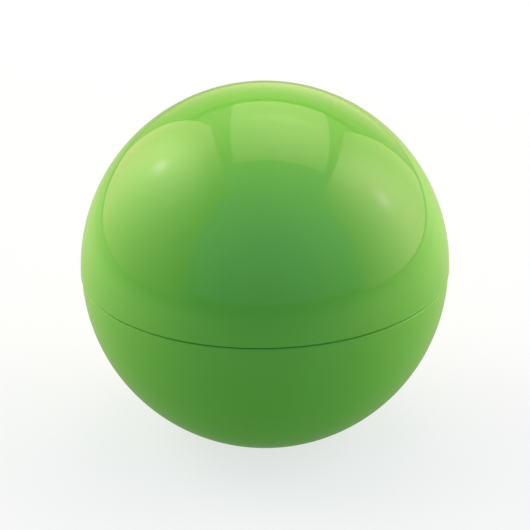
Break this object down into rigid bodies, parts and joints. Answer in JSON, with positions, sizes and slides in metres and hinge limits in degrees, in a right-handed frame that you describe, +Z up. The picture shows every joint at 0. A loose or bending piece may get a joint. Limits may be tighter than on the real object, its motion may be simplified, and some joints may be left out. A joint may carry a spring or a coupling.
{
  "type": "ball-shaped lip balm pot",
  "caption": "Glossy ball-shaped balm pot on a small flat foot; the upper half is a twist-off cap with a liner and seal, over a threaded neck that holds a dome of balm.",
  "frame": {"origin": "centre of the flat foot, on the plane that the pot stands on", "axes": "+Z up, along the ball's axis and the cap's axis; -Y is the side seen first"},
  "size_m": [0.04, 0.04, 0.0384],
  "materials": {
    "cap_plastic": "gloss",
    "base_plastic": "gloss",
    "liner_plastic": "satin",
    "collar_plastic": "satin",
    "cage_plastic": "satin",
    "seal_foam": "matte",
    "balm_wax": "satin",
    "label_film": "satin"
  },
  "bodies": {
    "base": {"base_shell": "base_plastic", "neck_collar": "collar_plastic", "balm_cage": "cage_plastic", "balm": "balm_wax", "base_label": "label_film"},
    "seal": {"seal_ring": "seal_foam"},
    "cap": {"cap_shell": "cap_plastic", "cap_liner": "liner_plastic"}
  },
  "joints": [
    {"name": "cap_lift", "type": "slide", "parent": "base", "child": "seal", "axis": [0, 0, 1], "range_m": [0, 0.018]},
    {"name": "cap_turn", "type": "hinge", "parent": "seal", "child": "cap", "pos_m": [0, 0, 0.02393], "axis": [0, 0, 1], "range_deg": [0, 1080]}
  ],
  "couplings": [
    {"joint": "cap_lift", "follows": "cap_turn", "m_per_rad": 0.00095493}
  ]
}
